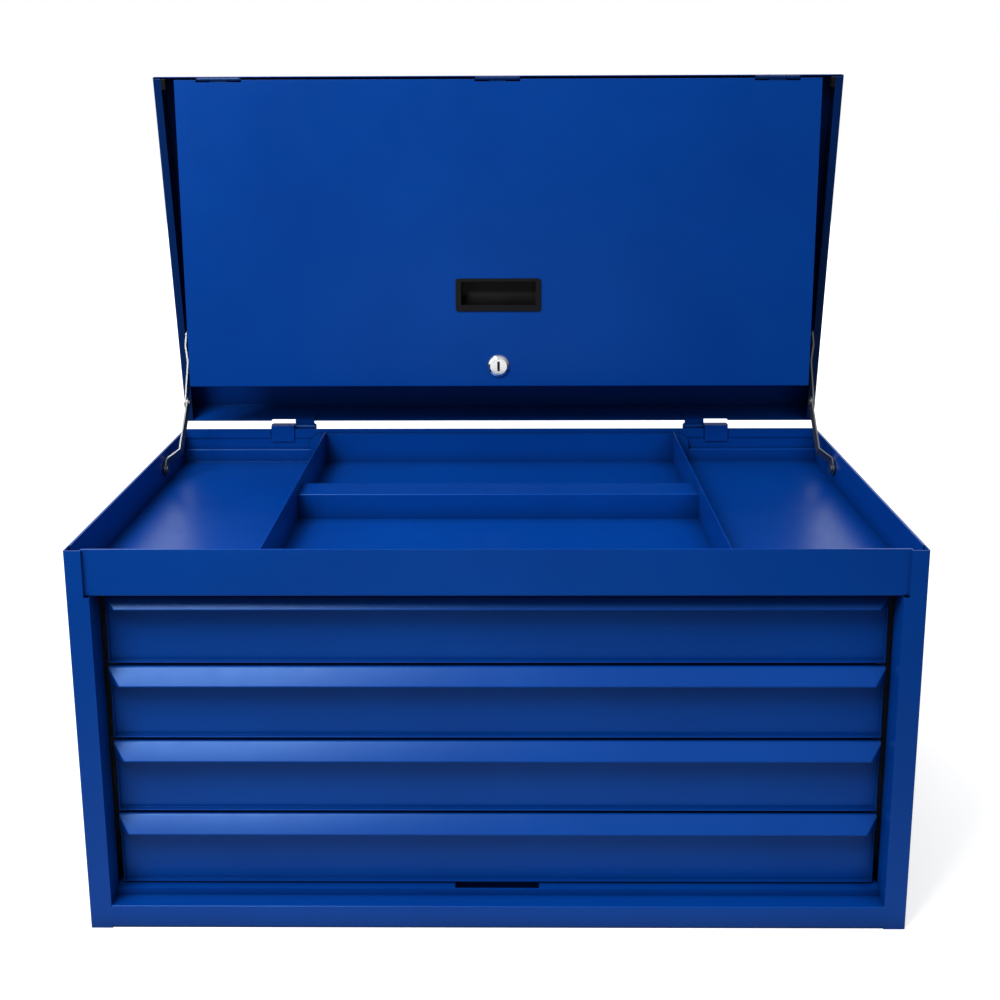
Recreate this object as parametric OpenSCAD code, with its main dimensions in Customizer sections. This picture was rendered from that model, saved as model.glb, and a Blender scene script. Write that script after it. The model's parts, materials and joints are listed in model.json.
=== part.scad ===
// Portable steel tool box: hinged lid, drop-down front cover, four drawers
// and a divided top till. Millimetres, +Z up, X to the right, Y to the back.
// The origin is the centre of the case's flat underside.

/* [Overall] */
// outside width of the case
case_w = 690; // [640:5:760]
// outside depth of the case, front to back
case_d = 370; // [350:5:400]
// height of the case up to its rim
case_h = 338; // [330:2:370]
// steel sheet thickness
sheet = 1; // [0.9:0.1:1.1]
// angle the lid stands open from closed
lid_open = 81.6; // [80:0.2:84]
// depth of the lid's walls
lid_h = 45; // [42:1:50]
// how far the lid's back wall stands behind the case
lid_back = 3; // [2.5:0.5:4]
// how far the lid's front wall leans back at its top
lid_lean = 6; // [0:0.5:8]

/* [Drawers] */
// gap between one drawer front and the next
front_gap = 3; // [2.5:0.5:5]
// how far a pull stands in front of its plate
pull_out = 14.5; // [13:0.5:15]
// height of the slanted pull face below the crease
pull_face = 10.5; // [10:0.5:12]
// width cut away at each end of the pull
pull_mitre = 10; // [8:0.5:16]
// room left behind the slides
slide_room = 5; // [4:1:30]

/* [Till] */
// half the distance between the two long partitions
partition_x = 188.5; // [150:1:200]
// height of the partitions above the till floor
partition_h = 34.5; // [26:0.5:34.5]
// height of the cross divider
cross_h = 24; // [16:1:30]
// front to back width of the cross divider
cross_w = 34; // [24:1:44]

/* [Front cover] */
// height of the front cover
cover_h = 315; // [300:1:315]
// depth of the cover's side and bottom flanges
cover_flange = 8; // [6:0.5:8]
// width of the recessed handle's frame
cup_w = 88; // [76:1:100]
// height of the recessed handle's frame
cup_h = 34; // [30:1:38]
// height of the handle's middle above the cover's lower edge
cup_up = 97; // [90:1:100]
// height of the lock's middle above the cover's lower edge
lock_up = 22; // [20:0.5:24]

/* [Hidden] */
$fn = 48;
t = sheet;
strap = 1.5;
hw = case_w / 2;
hd = case_d / 2;
xi = hw - t;                 // inner face of the side panels
run = 0.05;                  // radial running clearance of a pin
far = 1000;
// depth behind the front plane
function fy(d) = -hd + d;

blue = [0.03, 0.20, 0.52];
zinc = [0.72, 0.73, 0.75];
chrome = [0.85, 0.86, 0.88];
black = [0.03, 0.03, 0.035];

// front posts, rails, pan
post_in = hw - 18.5;         // inner edge of the posts
post_back = 22;              // depth of the posts
rail_set = 3;                // top rail behind the front plane
rail_low = case_h - 39.5;    // lower edge of the top rail
rail_end = hw - 13;
ledge_z = 21;
step_z = 27.3;
step_d = 15;
hem = 10;
floor_z = case_h - 36;       // top of the till floor
ledge_d = 4;                 // depth of the till floor's rear ledge

// drawers
pitch = (case_h - 68) / 4;
front_h = pitch - front_gap;
function top(i) = case_h - 42 - pitch * (i - 1);
plate_d = 26;
crease_d = plate_d - 6;
nose_d = plate_d - pull_out;
crease_drop = 2;
nose_drop = crease_drop + pull_face;
front_x = hw - 23;
tray_x = hw - 33;
tray_low = 62.5;
tray_top = 16;
slide_mid_z = 38;
slide_y0 = fy(44);
slide_len = hd - slide_room - slide_y0;
runner_len = slide_len - 12;
tray_y1 = slide_y0 + runner_len + 2;
slide_half = 13.5;           // half the height of the inner runner
slide_gap = 0.3;             // gap between slide members

// lid hinge, shared by the case and the lid
pin_y = hd + 9.4;
pin_z = case_h - 0.4;
lid_pin_r = 2;
knuckle_r = 4;
hinge_x = hw - 121;          // where the two knuckles meet
knuckle_gap = 0.2;
lid_knuckle = 20.6;
case_knuckle = 25;
lid_z0 = case_h + 0.8;       // lower edge of the closed lid
lid_z1 = lid_z0 + lid_h;
lid_y1 = hd + lid_back;      // outer face of the lid's back wall

// cover hinge, in the closed pose
cpin_y = fy(2.5);
cpin_z = case_h + 3.5;
cpin_r = 1;
cknuckle_r = 2.2;
chinge_w = 42;
chinge_mid = 17.2;
cover_x = hw - 21;
cover_top = case_h + 3;
cover_z0 = cover_top - cover_h;
cup_z = cover_z0 + cup_up;
lock_z = cover_z0 + lock_up;
cup_deep = 20;
lock_r = 9;
plug_r = 6;

// rubber stops in the lid for the stowed cover's lower flange, in the closed pose
stow = lid_open + 10;        // angle from hanging to stowed
stop_x = hw - 95;
stop_y = cpin_y + cover_h * cos(stow - 90) - 6.5;
stop_z = cpin_z + cover_h * sin(stow - 90) + cover_flange + t - 1;

// how far the hanging cover moves when the lid opens
open_y = pin_y + (cpin_y - pin_y) * cos(lid_open) + (cpin_z - pin_z) * sin(lid_open);
open_z = pin_z - (cpin_y - pin_y) * sin(lid_open) + (cpin_z - pin_z) * cos(lid_open);

// lid stays: case pivot, lid pivot and the joint between them, lid open
stay_c = [hd - 85, case_h - 20];
stay_t = 104;
stay_n = 6;
stay_l = [pin_y - stay_t * cos(lid_open) + stay_n * sin(lid_open),
          pin_z + stay_t * sin(lid_open) + stay_n * cos(lid_open)];
stay_m = [hd - 32, case_h + 37];
stay_r = 2.5;
stay_half = 6.5;
stay_low_x = hw - 15.5;      // inner face of the lower links at the middle joint
stay_up_x = stay_low_x + strap + 0.4;
stay_wall_x = xi - t - 0.3 - strap; // inner face of the lower links at the case
stay_lid_x = xi - 7.3 - strap;    // inner face of the upper links at the lid

// carry handles
bail_x = hw + 7;
bail_z = case_h - 88;
bail_r = 3;
ear_y = 61;

// ---------- helpers ----------
module rect(a0, a1, b0, b1) translate([a0, b0]) square([a1 - a0, b1 - b0]);
module box(x0, x1, y0, y1, z0, z1)
    translate([x0, y0, z0]) cube([x1 - x0, y1 - y0, z1 - z0]);
module along_x(x0, x1)
    translate([x0, 0, 0]) rotate([90, 0, 90]) linear_extrude(x1 - x0) children();
module along_z(z0, z1) translate([0, 0, z0]) linear_extrude(z1 - z0) children();
module both() { children(); mirror([1, 0, 0]) children(); }
module rod_x(x0, x1, y, z, r)
    translate([x0, y, z]) rotate([0, 90, 0]) cylinder(h = x1 - x0, r = r);
module rod_y(y0, y1, x, z, r)
    translate([x, y1, z]) rotate([90, 0, 0]) cylinder(h = y1 - y0, r = r);
module rod_z(z0, z1, x, y, r) translate([x, y, z0]) cylinder(h = z1 - z0, r = r);
// a rounded rectangle w by h about (0, z), from y0 to y1
module pad_y(w, h, r, z, y0, y1) {
    box(-w / 2 + r, w / 2 - r, y0, y1, z - h / 2, z + h / 2);
    box(-w / 2, w / 2, y0, y1, z - h / 2 + r, z + h / 2 - r);
    for (sx = [-1, 1], sz = [-1, 1])
        rod_y(y0, y1, sx * (w / 2 - r), z + sz * (h / 2 - r), r);
}
module lid_pose()
    translate([0, pin_y, pin_z]) rotate([-lid_open, 0, 0])
        translate([0, -pin_y, -pin_z]) children();
module cover_pose()
    translate([0, open_y - cpin_y, open_z - cpin_z]) children();

// ---------- case ----------
module side_panel() {
    box(xi, hw, -hd, hd, 0, case_h);
    box(post_in, xi, -hd, -hd + t, 0, rail_low - 0.5);
    box(rail_end - 1, xi, -hd, -hd + t, rail_low - 0.5, case_h);
    box(post_in, post_in + t, -hd + t, fy(post_back), t, rail_low - 0.5);
    box(xi - t, xi, fy(12), hd - 2 * t, case_h - hem, case_h);
}
module side_left() color(blue) mirror([1, 0, 0]) side_panel();
module side_right() color(blue) side_panel();

module back_wall() color(blue) {
    box(-xi, xi, hd - t, hd, 0, case_h);
    box(-hinge_x + 1, hinge_x - 1, hd - 2 * t, hd - t, case_h - hem, case_h);
    both() box(hinge_x + 26, xi, hd - 2 * t, hd - t, case_h - hem, case_h);
}
module base_pan() color(blue) {
    box(-xi, xi, -hd + t, hd - t, 0, t);
    box(-post_in, post_in, -hd + t, -hd + 2 * t, t, 18);
    box(-xi, xi, hd - 2 * t, hd - t, t, 14);
    both() box(xi - t, xi, -hd + 2 * t, hd - 2 * t, t, 14);
}
module bottom_rail() color(blue) difference() {
    along_x(-post_in, post_in) {
        rect(-hd, -hd + t, 2.3, ledge_z);
        rect(-hd, fy(step_d) + t, ledge_z - t, ledge_z);
        rect(fy(step_d), fy(step_d) + t, ledge_z - t, step_z);
        rect(fy(step_d), fy(step_d) + 20, step_z - t, step_z);
        rect(fy(step_d) + 20 - t, fy(step_d) + 20, t, step_z);
    }
    box(-36, 36, fy(step_d) + t, fy(step_d) + 13, step_z - 2, step_z + 1);
}
module top_rail() color(blue) {
    along_x(-rail_end, rail_end) {
        rect(fy(rail_set), fy(rail_set) + t, rail_low, case_h);
        rect(fy(rail_set), fy(rail_set) + 16, rail_low, rail_low + t);
        rect(fy(rail_set) + t, fy(rail_set) + 2 * t, case_h - 12, case_h);
    }
    both() box(rail_end - 1, rail_end, -hd + t, fy(rail_set), rail_low, case_h);
}

// ---------- till ----------
till_y0 = fy(rail_set) + t;
module till_floor() color(blue) {
    box(-xi, xi, till_y0, hd - t, floor_z - t, floor_z);
    box(-rail_end, rail_end, till_y0, till_y0 + t, rail_low + t, floor_z - t);
    both() box(rail_end, xi, -hd + t, till_y0, floor_z - t, floor_z);
    along_x(-xi, xi) {
        rect(hd - t - ledge_d, hd - ledge_d, floor_z, floor_z + 14);
        rect(hd - ledge_d, hd - t, floor_z + 14 - t, floor_z + 14);
    }
}
plate_y = hd - 2 * t - ledge_d;
module till_rear_plate() color(blue) {
    w = partition_x + 17.5;
    h = partition_h - 3.5;
    r = 12;
    box(-w, w, plate_y, plate_y + t, floor_z, floor_z + h - r);
    box(-w + r, w - r, plate_y, plate_y + t, floor_z + h - r, floor_z + h);
    both() rod_y(plate_y, plate_y + t, w - r, floor_z + h - r, r);
    box(-w + r, w - r, plate_y + t, hd - 2 * t, floor_z + h - t, floor_z + h);
}
module partition() {
    box(partition_x, partition_x + t, till_y0 + t, plate_y, floor_z, floor_z + partition_h);
    box(partition_x + t, partition_x + 12, till_y0 + 4, plate_y, floor_z, floor_z + t);
}
module till_partition_left() color(blue) mirror([1, 0, 0]) partition();
module till_partition_right() color(blue) partition();
module till_cross_divider() color(blue) along_x(-partition_x, partition_x) {
    rect(-6, -6 + t, floor_z, floor_z + cross_h);
    rect(-6, -6 + cross_w, floor_z + cross_h - t, floor_z + cross_h);
    rect(-6 + cross_w - t, -6 + cross_w, floor_z, floor_z + cross_h);
}

// ---------- drawer slides ----------
// a channel open towards the middle: web at x1, flanges in to x0
module channel(x0, x1, half, y0, y1, z) {
    box(x1 - t, x1, y0, y1, z - half, z + half);
    for (s = [-1, 1]) box(x0, x1, y0, y1, z + s * (half - t / 2) - t / 2,
                          z + s * (half - t / 2) + t / 2);
}
rack_x = hw - 20.3;
module slide_rack() {
    for (i = [1:4])
        channel(rack_x - 8.7, rack_x, slide_half + 2 * (t + slide_gap), slide_y0, slide_y0 + slide_len,
                top(i) - slide_mid_z);
    for (y = [slide_y0 + 12, slide_y0 + slide_len - 50]) {
        box(rack_x, rack_x + strap, y, y + 30, 15, rail_low - 2);
        for (yy = [y, y + 30 - strap])
            box(rack_x + strap, xi, yy, yy + strap, 15, rail_low - 2);
    }
}
module slide_rack_left() color(zinc) mirror([1, 0, 0]) slide_rack();
module slide_rack_right() color(zinc) slide_rack();
module slide_mid(i) color(zinc) both()
    channel(rack_x - 9.7, rack_x - t - slide_gap, slide_half + t + slide_gap, slide_y0 + 0.5, slide_y0 + slide_len - 30,
            top(i) - slide_mid_z);
module slide_mid_1() slide_mid(1);
module slide_mid_2() slide_mid(2);
module slide_mid_3() slide_mid(3);
module slide_mid_4() slide_mid(4);

// ---------- drawers ----------
module pull_solid(z) polygon([[fy(plate_d) + t, z], [fy(plate_d - 3), z],
    [fy(crease_d), z - crease_drop], [fy(nose_d), z - nose_drop],
    [fy(nose_d), z - nose_drop - t], [fy(plate_d) + t, z - nose_drop - t]]);
module front_profile(z) {
    rect(fy(plate_d), fy(plate_d) + t, z - front_h, z);
    difference() {
        pull_solid(z);
        polygon([[fy(plate_d), z - t], [fy(plate_d - 3) + 0.3, z - t],
            [fy(crease_d) + 0.5, z - crease_drop - 0.9],
            [fy(nose_d) + 1.6, z - nose_drop], [fy(nose_d) + 8, z - nose_drop],
            [fy(nose_d) + 8, z - nose_drop - 2 * t], [fy(plate_d), z - nose_drop - 2 * t]]);
    }
}
module pull_plan(inset) polygon([
    [-front_x + inset, fy(plate_d) + 2], [-front_x + inset, fy(crease_d)],
    [-front_x + pull_mitre + inset, fy(nose_d) - 0.01],
    [front_x - pull_mitre - inset, fy(nose_d) - 0.01],
    [front_x - inset, fy(crease_d)], [front_x - inset, fy(plate_d) + 2]]);
module drawer_front(i) color(blue) {
    z = top(i);
    intersection() {
        along_x(-front_x, front_x) front_profile(z);
        along_z(z - front_h - 1, z + 1) pull_plan(0);
    }
    intersection() {
        along_x(-front_x, front_x) pull_solid(z);
        along_z(z - nose_drop - t, z + 1) difference() { pull_plan(0); pull_plan(t); }
    }
    both() box(front_x - t, front_x, fy(plate_d) - 4, fy(plate_d), z - front_h, z - nose_drop);
    box(-front_x, front_x, fy(plate_d) - 4, fy(plate_d), z - front_h, z - front_h + t);
}
module drawer_tray(i) color(blue) {
    z0 = top(i) - tray_low;
    z1 = top(i) - tray_top;
    y0 = fy(plate_d) + t;
    box(-tray_x, tray_x, y0, tray_y1, z0, z0 + t);
    both() box(tray_x - t, tray_x, y0, tray_y1, z0 + t, z1);
    for (y = [y0, tray_y1 - t])
        box(-tray_x + t, tray_x - t, y, y + t, z0 + t, z1);
    both() box(tray_x - 5, tray_x - t, y0 + t, tray_y1 - t, z1 - t, z1);
}
module drawer_runners(i) color(zinc) both() {
    z = top(i) - slide_mid_z;
    box(tray_x, tray_x + t, slide_y0, slide_y0 + runner_len, z - slide_half, z + slide_half);
    for (s = [-1, 1])
        box(tray_x, rack_x - 2 * (t + slide_gap), slide_y0, slide_y0 + runner_len,
            z + s * (slide_half - t / 2) - t / 2, z + s * (slide_half - t / 2) + t / 2);
}
module drawer_1_tray() drawer_tray(1);
module drawer_2_tray() drawer_tray(2);
module drawer_3_tray() drawer_tray(3);
module drawer_4_tray() drawer_tray(4);
module drawer_1_front() drawer_front(1);
module drawer_2_front() drawer_front(2);
module drawer_3_front() drawer_front(3);
module drawer_4_front() drawer_front(4);
module drawer_1_runners() drawer_runners(1);
module drawer_2_runners() drawer_runners(2);
module drawer_3_runners() drawer_runners(3);
module drawer_4_runners() drawer_runners(4);

// ---------- lid hinges ----------
module case_hinge_leaves() color(zinc) both() difference() {
    x0 = hinge_x + knuckle_gap;
    x1 = hinge_x + case_knuckle;
    union() {
        along_x(x0, x1) {
            rect(hd - t - strap, hd - t, case_h - 14, pin_z + knuckle_r);
            rect(hd - t - strap, pin_y, pin_z + knuckle_r - strap, pin_z + knuckle_r);
        }
        rod_x(x0, x1, pin_y, pin_z, knuckle_r);
    }
    rod_x(x0 - 1, x1 + 1, pin_y, pin_z, lid_pin_r);
}
module lid_hinge_pins() color(zinc) both() {
    x0 = hinge_x - knuckle_gap - lid_knuckle - 0.3;
    x1 = hinge_x + case_knuckle + 0.3;
    rod_x(x0, x1, pin_y, pin_z, lid_pin_r);
    rod_x(x0 - 1.2, x0, pin_y, pin_z, 3.2);
    rod_x(x1, x1 + 1.2, pin_y, pin_z, 3.2);
}
module lid_hinge_leaves() color(zinc) lid_pose() both() difference() {
    x0 = hinge_x - knuckle_gap - lid_knuckle;
    x1 = hinge_x - knuckle_gap;
    union() {
        along_x(x0, x1) {
            rect(lid_y1 - t - strap, lid_y1 - t, pin_z - 2.2, lid_z0 + 20);
            rect(lid_y1 - t - strap, pin_y, pin_z - 2.2, pin_z - 2.2 + strap);
        }
        rod_x(x0, x1, pin_y, pin_z, knuckle_r);
    }
    rod_x(x0 - 1, x1 + 1, pin_y, pin_z, lid_pin_r + run);
}

// ---------- lid ----------
// the lid's section, inset by w
module lid_section(w, z0) polygon([[-hd + w, z0], [lid_y1 - w, z0], [lid_y1 - w, lid_z1 - w],
    [-hd + lid_lean + w, lid_z1 - w], [-hd + w, lid_z0 + 5.5]]);
module lid_shell() color(blue) lid_pose() difference() {
    union() {
        difference() {
            along_x(-hw, hw) lid_section(0, lid_z0);
            along_x(-xi, xi) lid_section(t, lid_z0 - 1);
            box(-xi, xi, -far, 0, 0, lid_z0 + 5.5);
        }
        both() box(xi - 7, xi, -hd + 1.5 * t, lid_y1 - t, lid_z0, lid_z0 + t);
    }
    both() box(hinge_x - 0.9, hinge_x + case_knuckle + 1.5,
               lid_y1 - 3, far, lid_z0 - 1, lid_z0 + 4.4);
}
module lid_buffers() color(black) lid_pose() both()
    box(xi - 11, xi - 7, fy(2), fy(12), lid_z0, lid_z0 + 6);
module cover_stops() color(black) lid_pose() both()
    box(stop_x - 6, stop_x + 6, stop_y, stop_y + 13, stop_z, lid_z1 - t);
module stay_post() lid_pose() {
    y = pin_y - stay_t;
    z = pin_z + stay_n;
    rod_x(stay_lid_x + strap + 0.3, xi, y, z, 3.6);
    rod_x(stay_lid_x - 0.3, stay_lid_x + strap + 0.3, y, z, stay_r);
    rod_x(stay_lid_x - 1.3, stay_lid_x - 0.3, y, z, 4);
}
module stay_post_left() color(zinc) mirror([1, 0, 0]) stay_post();
module stay_post_right() color(zinc) stay_post();

// ---------- lid stays ----------
// a flat bar from p to q whose plane steps from xp to xq between lengths j0 and j1
module link_bar(p, q, xp, xq, j0, j1) difference() {
    n = norm(q - p);
    union() {
        rod_x(xp, xp + strap, p[0], p[1], stay_half);
        rod_x(xq, xq + strap, q[0], q[1], stay_half);
        translate([0, p[0], p[1]]) rotate([atan2(q[1] - p[1], q[0] - p[0]), 0, 0])
            along_z(0.3 - stay_half, stay_half - 0.3)
                polygon([[xp, 0], [xp, j0], [xq, j1], [xq, n], [xq + strap, n],
                         [xq + strap, j1 + 0.5], [xp + strap, j0 + 0.5], [xp + strap, 0]]);
    }
    rod_x(xp - 1, xp + strap + 1, p[0], p[1], stay_r + run);
}
module stay_lower() {
    link_bar(stay_c, stay_m, stay_wall_x, stay_low_x, 9, 20);
    rod_x(stay_low_x - 1.2, stay_low_x, stay_m[0], stay_m[1], 4.2);
}
module stay_upper() {
    link_bar(stay_l, stay_m, stay_lid_x, stay_up_x, 12, 30);
    rod_x(stay_up_x + strap, stay_up_x + strap + 0.8, stay_m[0], stay_m[1], 4.2);
}
module stay_pivot() {
    rod_x(stay_wall_x - 0.3, xi, stay_c[0], stay_c[1], stay_r);
    rod_x(stay_wall_x - 1.5, stay_wall_x - 0.3, stay_c[0], stay_c[1], 4.5);
}
module stay_lower_left() color(zinc) mirror([1, 0, 0]) stay_lower();
module stay_lower_right() color(zinc) stay_lower();
module stay_upper_left() color(zinc) mirror([1, 0, 0]) stay_upper();
module stay_upper_right() color(zinc) stay_upper();
module stay_pivot_left() color(zinc) mirror([1, 0, 0]) stay_pivot();
module stay_pivot_right() color(zinc) stay_pivot();

// ---------- cover hinges ----------
module at_cover_hinges()
    for (x = [-hw + 65.5, 0, hw - 65.5]) translate([x, 0, 0]) children();
function lid_in(z) = fy(t) + lid_lean * (z - lid_z0 - 5.5) / (lid_h - 5.5 - t);
module cover_leaf_lid() difference() {
    z0 = cpin_z + 2.9;
    z1 = cpin_z + 20;
    union() {
        along_x(-chinge_w / 2, chinge_w / 2)
            polygon([[lid_in(z0), z0], [lid_in(z1), z1], [lid_in(z1) + t, z1], [lid_in(z0) + t, z0]]);
        both() {
            box(chinge_mid / 2 + 0.4, chinge_w / 2, fy(t), fy(2 * t), cpin_z, cpin_z + 2.9);
            rod_x(chinge_mid / 2 + 0.4, chinge_w / 2, cpin_y, cpin_z, cknuckle_r);
        }
    }
    rod_x(-far, far, cpin_y, cpin_z, cpin_r + run);
}
module cover_leaf() difference() {
    union() {
        box(-chinge_w / 2, chinge_w / 2, fy(t), fy(2 * t), cpin_z - 20, cpin_z - 2.9);
        box(-chinge_mid / 2, chinge_mid / 2, fy(t), fy(2 * t), cpin_z - 2.9, cpin_z);
        rod_x(-chinge_mid / 2, chinge_mid / 2, cpin_y, cpin_z, cknuckle_r);
    }
    rod_x(-far, far, cpin_y, cpin_z, cpin_r + run);
}
module cover_leaves_lid() color(zinc) lid_pose() at_cover_hinges() cover_leaf_lid();
module cover_leaves() color(zinc) cover_pose() at_cover_hinges() cover_leaf();
module cover_pins() color(zinc) cover_pose() at_cover_hinges() {
    rod_x(-chinge_w / 2 - 0.3, chinge_w / 2 + 0.3, cpin_y, cpin_z, cpin_r);
    both() rod_x(chinge_w / 2 + 0.3, chinge_w / 2 + 1.1, cpin_y, cpin_z, 1.8);
}

// ---------- front cover ----------
module cover_panel() color(blue) cover_pose() difference() {
    union() {
        box(-cover_x, cover_x, -hd, -hd + t, cover_z0, cover_top);
        both() box(cover_x - t, cover_x, -hd + t, fy(t + cover_flange),
                   cover_z0, case_h - 42);
        box(-cover_x + t, cover_x - t, -hd + t, fy(t + cover_flange), cover_z0, cover_z0 + t);
    }
    at_cover_hinges()
        box(-chinge_w / 2 - 1.8, chinge_w / 2 + 1.8, -hd - 1, fy(3), cpin_z - 2.9, far);
    pad_y(cup_w - 5, cup_h - 3, 3, cup_z, -hd - 1, -hd + 2);
    rod_y(-hd - 1, -hd + 2, 0, lock_z, lock_r);
}
module cover_handle() color(black) cover_pose() {
    arc = 16.8;
    w = cup_w / 2 - 5.5;
    top_in = cup_h / 2 - 3;
    difference() {
        union() {
            pad_y(cup_w, cup_h, 2.5, cup_z, -hd - 1.2, -hd);
            pad_y(cup_w - 5, cup_h - 3, 3, cup_z, -hd, -hd + cup_deep + 0.5);
        }
        // a scoop that rises to the back, under a square top
        box(-w, w, -hd - 2, -hd + cup_deep - 1.2, cup_z + 6, cup_z + top_in);
        intersection() {
            rod_x(-w, w, -hd + cup_deep - 1.2 - arc, cup_z + 6, arc);
            box(-w, w, -hd - 2, -hd + cup_deep, cup_z - arc, cup_z + 6.01);
        }
    }
}
module lock_housing() color(chrome) cover_pose() difference() {
    union() {
        translate([0, -hd, lock_z]) rotate([90, 0, 0]) rotate_extrude()
            polygon([[0, 0], [11.8, 0], [11.8, 0.7], [10.8, 2.1], [8.6, 3.1], [0, 3.1]]);
        rod_y(-hd, fy(16), 0, lock_z, lock_r);
    }
    rod_y(-hd - 4, -hd - 1, 0, lock_z, 7.6);
    rod_y(-hd - 2, fy(17), 0, lock_z, plug_r + run);
}
module lock_nut() color(chrome) cover_pose() difference() {
    translate([0, fy(4.5), lock_z]) rotate([90, 0, 0]) cylinder(h = 3.5, r = 12.5, $fn = 6);
    rod_y(-hd, fy(6), 0, lock_z, lock_r);
}
module lock_plug() color(chrome) cover_pose() difference() {
    union() {
        rod_y(-hd - 1.1, fy(17), 0, lock_z, plug_r);
        rod_y(-hd - 3.0, -hd - 1.1, 0, lock_z, 7.2);
    }
    box(-1.3, 1.3, -hd - 4, -hd + 4, lock_z - 5.2, lock_z + 5.2);
}
module lock_cam() color(zinc) cover_pose() {
    box(-6, 19, fy(17), fy(19), lock_z - 6, lock_z + 6);
    rod_y(fy(17), fy(19), 19, lock_z, 6);
    rod_y(fy(19), fy(21), 0, lock_z, 4);
}

// ---------- carry handles ----------
module handle_bracket() {
    box(hw, hw + strap, -72, 72, bail_z - 14, bail_z + 14);
    both_y() difference() {
        union() {
            box(hw + strap, bail_x, ear_y - 6, ear_y + 6, bail_z - 5.5, bail_z + 5.5);
            rod_y(ear_y - 6, ear_y + 6, bail_x, bail_z, 5.5);
        }
        rod_y(ear_y - 7, ear_y + 7, bail_x, bail_z, bail_r + run);
    }
}
module both_y() { children(); mirror([0, 1, 0]) children(); }
module bail() {
    low = bail_z - 58;
    a = ear_y - 10;
    both_y() {
        rod_y(a, ear_y + 5, bail_x, bail_z, bail_r);
        rod_z(low, bail_z, bail_x, a, bail_r);
        for (z = [low, bail_z]) translate([bail_x, a, z]) sphere(bail_r);
    }
    rod_y(-a, a, bail_x, low, bail_r);
    rod_y(-a + 6, a - 6, bail_x, low, 6);
}
module handle_bracket_left() color(zinc) mirror([1, 0, 0]) handle_bracket();
module handle_bracket_right() color(zinc) handle_bracket();
module bail_left() color(black) mirror([1, 0, 0]) bail();
module bail_right() color(black) bail();

side_left();
side_right();
back_wall();
base_pan();
bottom_rail();
top_rail();
till_floor();
till_rear_plate();
till_partition_left();
till_partition_right();
till_cross_divider();
slide_rack_left();
slide_rack_right();
case_hinge_leaves();
lid_hinge_pins();
stay_pivot_left();
stay_pivot_right();
handle_bracket_left();
handle_bracket_right();
slide_mid_1();
slide_mid_2();
slide_mid_3();
slide_mid_4();
drawer_1_tray();
drawer_1_front();
drawer_1_runners();
drawer_2_tray();
drawer_2_front();
drawer_2_runners();
drawer_3_tray();
drawer_3_front();
drawer_3_runners();
drawer_4_tray();
drawer_4_front();
drawer_4_runners();
lid_shell();
lid_hinge_leaves();
cover_leaves_lid();
stay_post_left();
stay_post_right();
lid_buffers();
cover_stops();
cover_pins();
cover_panel();
cover_leaves();
cover_handle();
lock_housing();
lock_nut();
lock_plug();
lock_cam();
stay_lower_left();
stay_lower_right();
stay_upper_left();
stay_upper_right();
bail_left();
bail_right();
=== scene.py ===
"""Looks of the portable tool box: paint, plating, plastic, folded edges, rivets and stage."""
import json
import math

import bmesh
import bpy
from mathutils import Matrix, Vector

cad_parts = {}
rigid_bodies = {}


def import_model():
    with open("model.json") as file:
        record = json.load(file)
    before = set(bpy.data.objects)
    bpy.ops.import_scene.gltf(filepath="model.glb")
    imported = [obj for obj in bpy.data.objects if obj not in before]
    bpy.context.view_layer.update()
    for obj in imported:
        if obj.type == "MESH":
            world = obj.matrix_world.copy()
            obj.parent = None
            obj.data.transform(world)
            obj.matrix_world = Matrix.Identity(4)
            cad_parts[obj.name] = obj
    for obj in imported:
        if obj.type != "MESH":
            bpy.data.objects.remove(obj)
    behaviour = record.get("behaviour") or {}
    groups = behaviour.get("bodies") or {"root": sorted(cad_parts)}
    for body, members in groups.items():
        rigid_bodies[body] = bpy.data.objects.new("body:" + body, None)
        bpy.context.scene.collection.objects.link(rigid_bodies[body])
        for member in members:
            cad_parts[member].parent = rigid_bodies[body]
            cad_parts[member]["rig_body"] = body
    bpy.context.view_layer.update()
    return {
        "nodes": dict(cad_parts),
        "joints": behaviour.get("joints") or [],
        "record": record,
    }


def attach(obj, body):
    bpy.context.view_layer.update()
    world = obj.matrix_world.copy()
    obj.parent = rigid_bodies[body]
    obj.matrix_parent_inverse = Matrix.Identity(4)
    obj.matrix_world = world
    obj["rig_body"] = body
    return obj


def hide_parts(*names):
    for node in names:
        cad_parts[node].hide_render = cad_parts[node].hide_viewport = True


bl_info = {
    "name": "Tool box looks",
    "version": (1, 0, 0),
    "blender": (4, 5, 0),
    "location": "3D View > Sidebar > Tool box",
    "description": "Dresses the portable tool box and lights it",
    "category": "Object",
}

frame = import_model()
NODES = frame["nodes"]
# Drawers are numbered from the top.
DRAWERS = (1, 2, 3, 4)

# Lengths are in metres. The sheets and the straps of the handle brackets are this thick.
SHEET = 0.001
STRAP = 0.0015

# Points closer than MERGE are one point, and faces that differ less than FLAT_TURN are one face.
MERGE = 2e-5
FLAT_TURN = math.radians(0.5)
# A fold is an outside edge that turns at least FOLD_TURN, is FOLD_LENGTH long or more and has
# a face wider than FOLD_FLANK on both sides. Facets that turn this little are a round wall's,
# and a cut edge turns more than CUT_TURN and has no part in such a wall.
FOLD_TURN = math.radians(25)
FOLD_LENGTH = 0.006
FOLD_FLANK = 0.0035
FACET_TURN = (math.radians(2), math.radians(8))
CUT_TURN = math.radians(40)

# Rivets of the handle brackets: from the bracket's ends, and between the rows.
BRACKET_MARGIN = 0.006
BRACKET_ROWS = 0.020
# Rivets of the hinge leaves on the case: from the leaf's outer end and lower edge.
CASE_LEAF_RIVETS = (0.018, 0.006)
CASE_LEAF_RISE = 0.005
# Rivets of the hinge leaves on the lid: from the middle of the box, and back and up from the
# hinge pin with the lid closed.
LID_LEAF_RIVETS = (0.208, 0.219)
LID_RIVET_FROM_PIN = (-0.0064, 0.0154)
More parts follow.
